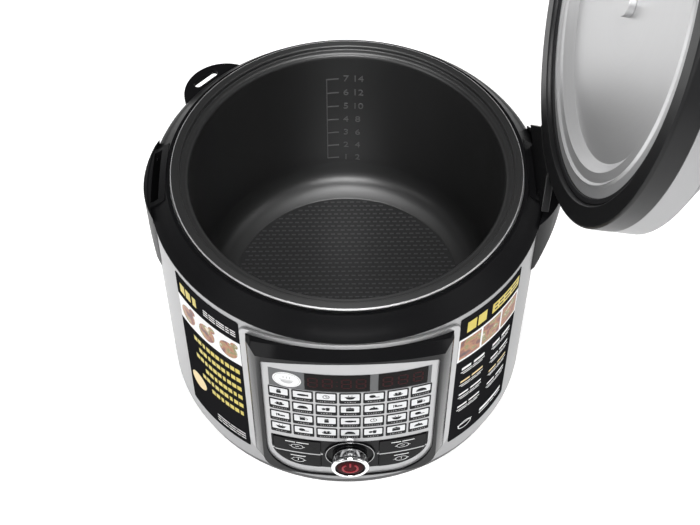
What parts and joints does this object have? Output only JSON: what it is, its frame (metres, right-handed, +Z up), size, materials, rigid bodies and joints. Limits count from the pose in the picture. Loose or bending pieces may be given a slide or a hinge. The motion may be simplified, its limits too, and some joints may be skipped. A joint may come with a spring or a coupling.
{
  "type": "electric pressure cooker",
  "caption": "Round electric pressure cooker with non-stick pot, curved control panel with knob, and its lid parked upright in a slot of the side handle.",
  "frame": {"origin": "on the table, under the middle of the cooking pot", "axes": "+Z up, -Y towards the control panel, +X towards the handle in which the lid is parked"},
  "size_m": [0.3974, 0.297, 0.5008],
  "materials": {
    "base_plastic": "fine texture",
    "rubber": "matte",
    "silver_shell": "satin silver",
    "non_stick": "dark non-stick coating",
    "pressed_steel": "pressed sheet",
    "black_gloss": "gloss black",
    "cast_aluminium": "cast",
    "heater_tube": "heat tinted",
    "spring_steel": "bright",
    "device_plastic": "moulded",
    "circuit_board": "lacquered",
    "zinc_screws": "zinc plated",
    "transformer_core": "varnished",
    "relay_case": "moulded",
    "inlet_plastic": "moulded",
    "contact_brass": "plated",
    "silver_trim": "gloss silver",
    "smoked_window": "smoked",
    "tile_print": "printed",
    "key_black": "printed",
    "switch_plastic": "moulded",
    "chrome": "plated",
    "red_button": "translucent red",
    "steel_pin": "turned",
    "encoder_case": "plated",
    "lid_black": "satin black",
    "lid_steel": "brushed",
    "silicone": "silicone"
  },
  "bodies": {
    "cooker_body": {"base_tray": "base_plastic", "rubber_feet": "rubber", "outer_shell": "silver_shell", "outer_pot": "pressed_steel", "sensor_bracket": "pressed_steel", "top_ring": "black_gloss", "left_handle": "black_gloss", "right_handle": "black_gloss", "spoon_holder": "black_gloss", "panel_frame": "black_gloss", "knob_dish": "black_gloss", "heating_plate": "cast_aluminium", "heating_element": "heater_tube", "sensor_spring": "spring_steel", "pressure_switch": "device_plastic", "thermal_fuse": "device_plastic", "power_board": "circuit_board", "control_board": "circuit_board", "power_board_screws": "zinc_screws", "control_board_screws": "zinc_screws", "transformer": "transformer_core", "heater_relay": "relay_case", "mains_inlet": "inlet_plastic", "inlet_pins": "contact_brass", "panel_trim": "silver_trim", "faceplate": "silver_trim", "time_window": "smoked_window", "temperature_window": "smoked_window", "program_tiles": "tile_print", "key_switches": "switch_plastic", "display_module": "switch_plastic", "encoder": "encoder_case"},
    "inner_pot": {"inner_pot": "non_stick"},
    "sensor": {"sensor_cap": "cast_aluminium"},
    "knob": {"knob": "chrome", "encoder_shaft": "steel_pin"},
    "power_button": {"power_button": "red_button"},
    "key_lower_left": {"key_lower_left": "key_black"},
    "key_lower_right": {"key_lower_right": "key_black"},
    "key_upper_left": {"key_upper_left": "key_black"},
    "key_upper_right": {"key_upper_right": "key_black"},
    "lid": {"lid_skirt": "lid_black", "lid_band": "lid_steel", "lid_cover": "lid_black", "pressure_lid": "pressed_steel", "inner_lid": "lid_steel", "sealing_ring": "silicone", "inner_lid_nut": "lid_steel", "steam_stem": "steel_pin", "steam_shield": "lid_steel", "lid_handle": "lid_black", "lid_parking_tab": "lid_black"},
    "steam_valve": {"steam_valve": "lid_black"},
    "float_valve": {"float_valve": "steel_pin"}
  },
  "joints": [
    {"name": "lid_lift", "type": "slide", "parent": "cooker_body", "child": "lid", "axis": [0.2079, 0, 0.9781], "range_m": [0, 0.06]},
    {"name": "inner_pot_lift", "type": "slide", "parent": "cooker_body", "child": "inner_pot", "axis": [0, 0, 1], "range_m": [0, 0.16]},
    {"name": "sensor_plunge", "type": "slide", "parent": "cooker_body", "child": "sensor", "axis": [0, 0, 1], "range_m": [-0.003, 0], "stiffness_N_per_m": 800, "springref_m": 0.002, "deforming": ["sensor_spring"]},
    {"name": "knob_turn", "type": "hinge", "parent": "cooker_body", "child": "knob", "pos_m": [0, -0.145, 0.062], "axis": [0, -1, 0], "continuous": true},
    {"name": "power_button_press", "type": "slide", "parent": "knob", "child": "power_button", "axis": [0, 1, 0], "range_m": [0, 0.0006], "stiffness_N_per_m": 1500},
    {"name": "key_lower_left_press", "type": "slide", "parent": "cooker_body", "child": "key_lower_left", "axis": [0, 1, 0], "range_m": [0, 0.0005], "stiffness_N_per_m": 1500},
    {"name": "key_lower_right_press", "type": "slide", "parent": "cooker_body", "child": "key_lower_right", "axis": [0, 1, 0], "range_m": [0, 0.0005], "stiffness_N_per_m": 1500},
    {"name": "key_upper_left_press", "type": "slide", "parent": "cooker_body", "child": "key_upper_left", "axis": [0, 1, 0], "range_m": [0, 0.0005], "stiffness_N_per_m": 1500},
    {"name": "key_upper_right_press", "type": "slide", "parent": "cooker_body", "child": "key_upper_right", "axis": [0, 1, 0], "range_m": [0, 0.0005], "stiffness_N_per_m": 1500},
    {"name": "steam_valve_turn", "type": "hinge", "parent": "lid", "child": "steam_valve", "pos_m": [0.23739, 0, 0.39661], "axis": [0.9781, 0, -0.2079], "range_deg": [0, 60]},
    {"name": "float_valve_rise", "type": "slide", "parent": "lid", "child": "float_valve", "axis": [0.9781, 0, -0.2079], "range_m": [-0.005, 0]}
  ]
}
